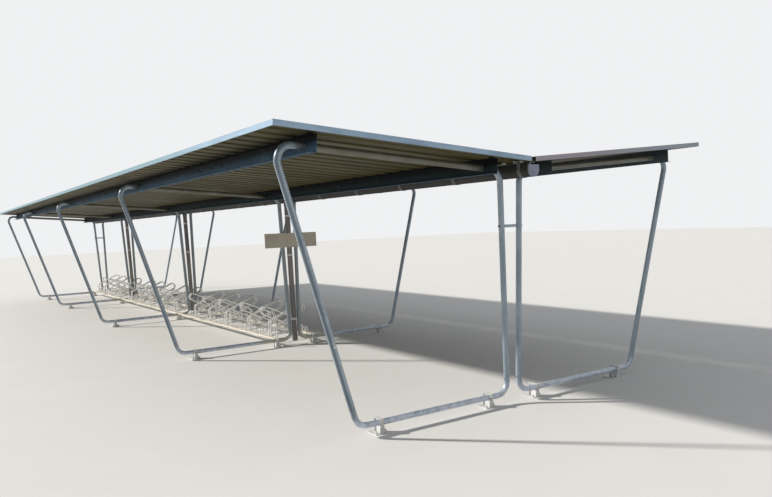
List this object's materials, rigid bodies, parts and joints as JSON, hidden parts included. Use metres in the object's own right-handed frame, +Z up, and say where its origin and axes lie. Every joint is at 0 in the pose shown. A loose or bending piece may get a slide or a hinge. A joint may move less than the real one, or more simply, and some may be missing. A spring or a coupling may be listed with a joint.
{
  "type": "bike shelter",
  "caption": "Open double-sided bike shelter: bent tube frames carry two trapezoidal sheet roofs that fall to a middle gutter, with hoop racks between the inner legs.",
  "frame": {"origin": "on the ground, in the middle of the roof's outline", "axes": "+X across the shelter to the right as seen from the front end, +Y along the shelter from the front end to the rear, +Z up"},
  "size_m": [4.5148, 16.475, 2.2608],
  "materials": {
    "frame_tube": "hot-dip galvanised, dull",
    "galvanised_fittings": "hot-dip galvanised, dull",
    "purlin_steel": "galvanised sheet with a faint spangle",
    "roof_sheet": "coated trapezoidal sheet, satin",
    "edge_trim": "coated, satin",
    "gutter": "coated, dull",
    "downpipe": "coated, dull",
    "sign_plate": "bare plate, satin",
    "rack_steel": "hot-dip galvanised, dull"
  },
  "bodies": {
    "root": {"frame_left_1": "frame_tube", "frame_left_2": "frame_tube", "frame_left_3": "frame_tube", "frame_left_4": "frame_tube", "frame_left_5": "frame_tube", "frame_right_1": "frame_tube", "frame_right_2": "frame_tube", "frame_right_3": "frame_tube", "frame_right_4": "frame_tube", "frame_right_5": "frame_tube", "feet_1": "galvanised_fittings", "feet_2": "galvanised_fittings", "feet_3": "galvanised_fittings", "feet_4": "galvanised_fittings", "feet_5": "galvanised_fittings", "purlin_outer_left": "purlin_steel", "purlin_inner_left": "purlin_steel", "purlin_inner_right": "purlin_steel", "purlin_outer_right": "purlin_steel", "roof_left_1": "roof_sheet", "roof_left_2": "roof_sheet", "roof_left_3": "roof_sheet", "roof_left_4": "roof_sheet", "roof_right_1": "roof_sheet", "roof_right_2": "roof_sheet", "roof_right_3": "roof_sheet", "roof_right_4": "roof_sheet", "verge_front": "edge_trim", "verge_rear": "edge_trim", "eave_left": "edge_trim", "eave_right": "edge_trim", "gutter": "gutter", "gutter_straps": "galvanised_fittings", "downpipe_2": "downpipe", "downpipe_3": "downpipe", "downpipe_4": "downpipe", "leg_ties": "galvanised_fittings", "sign_plate": "sign_plate", "rack_rails": "rack_steel", "rack_1": "rack_steel", "rack_2": "rack_steel", "rack_3": "rack_steel", "rack_4": "rack_steel", "rack_5": "rack_steel"}
  },
  "joints": []
}
